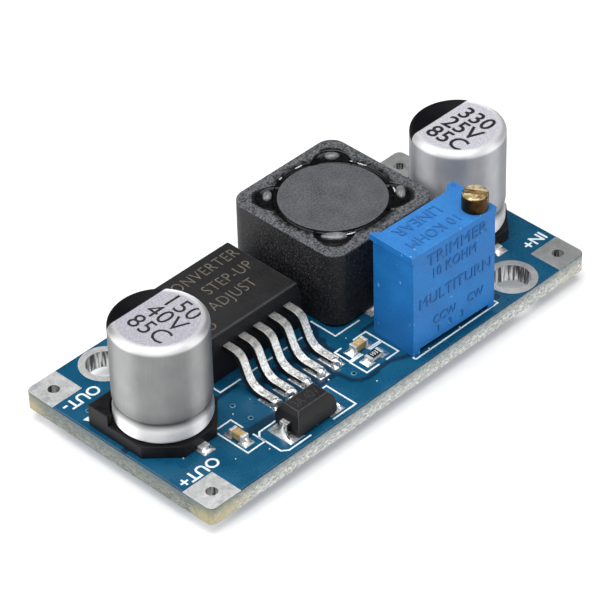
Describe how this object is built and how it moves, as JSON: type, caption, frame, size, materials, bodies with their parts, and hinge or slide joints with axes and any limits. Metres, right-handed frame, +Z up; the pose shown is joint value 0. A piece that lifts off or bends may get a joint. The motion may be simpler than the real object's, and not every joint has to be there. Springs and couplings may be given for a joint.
{
  "type": "boost converter module",
  "caption": "Rectangular circuit board with can capacitors, a shielded inductor, a tabbed regulator and a screw-set trimmer, for stepping a DC supply up to a higher voltage.",
  "frame": {"origin": "midway between the two mounting holes, on the underside of the board's laminate", "axes": "+X from the output end to the input end along the board, +Y towards the back long edge where the regulator's tab is, +Z up out of the side that carries the parts"},
  "size_m": [0.0434, 0.021, 0.0142],
  "materials": {
    "solder_mask": "glossy blue solder mask on glass-fibre laminate",
    "tinned_copper": "hot-dipped tin over copper, satin",
    "can_aluminium": "satin drawn aluminium",
    "base_plastic": "moulded black plastic",
    "lead_tin": "bright tin plating",
    "epoxy_moulding": "fine matt black moulding compound",
    "ferrite": "pressed grey-black ferrite, unglazed",
    "ground_ferrite": "ground ferrite face, grey",
    "enamelled_copper": "enamelled copper wire",
    "potting_glue": "cured black epoxy, glossy",
    "trimmer_plastic": "moulded blue plastic, semi-gloss",
    "trimmer_resin": "blue-grey sealing resin",
    "screw_brass": "turned brass",
    "solder": "bright solder",
    "chip_ceramic": "tan fired ceramic",
    "alumina": "white alumina",
    "resistor_coat": "black overcoat"
  },
  "bodies": {
    "module": {"circuit_board": "solder_mask", "wire_pads": "tinned_copper", "mounting_rings": "tinned_copper", "copper_lands": "tinned_copper", "output_can": "can_aluminium", "output_base": "base_plastic", "output_leads": "lead_tin", "input_can": "can_aluminium", "input_base": "base_plastic", "input_leads": "lead_tin", "regulator_body": "epoxy_moulding", "regulator_tab": "lead_tin", "regulator_leads": "lead_tin", "inductor_shield": "ferrite", "inductor_core": "ground_ferrite", "inductor_winding": "enamelled_copper", "inductor_glue": "potting_glue", "inductor_terminals": "lead_tin", "trimmer_housing": "trimmer_plastic", "trimmer_resin": "trimmer_resin", "trimmer_pins": "lead_tin", "pin_solder": "solder", "diode_body": "epoxy_moulding", "diode_leads": "lead_tin", "output_chip_body": "chip_ceramic", "output_chip_ends": "lead_tin", "pair_capacitor_body": "chip_ceramic", "pair_capacitor_ends": "lead_tin", "resistor_body": "alumina", "resistor_coat_layer": "resistor_coat", "resistor_ends": "lead_tin"},
    "adjuster": {"trimmer_screw": "screw_brass"}
  },
  "joints": [
    {"name": "adjuster_turn", "type": "hinge", "parent": "module", "child": "adjuster", "pos_m": [0.01031, -0.00839, 0.01163], "axis": [0, 0, 1], "continuous": true}
  ]
}
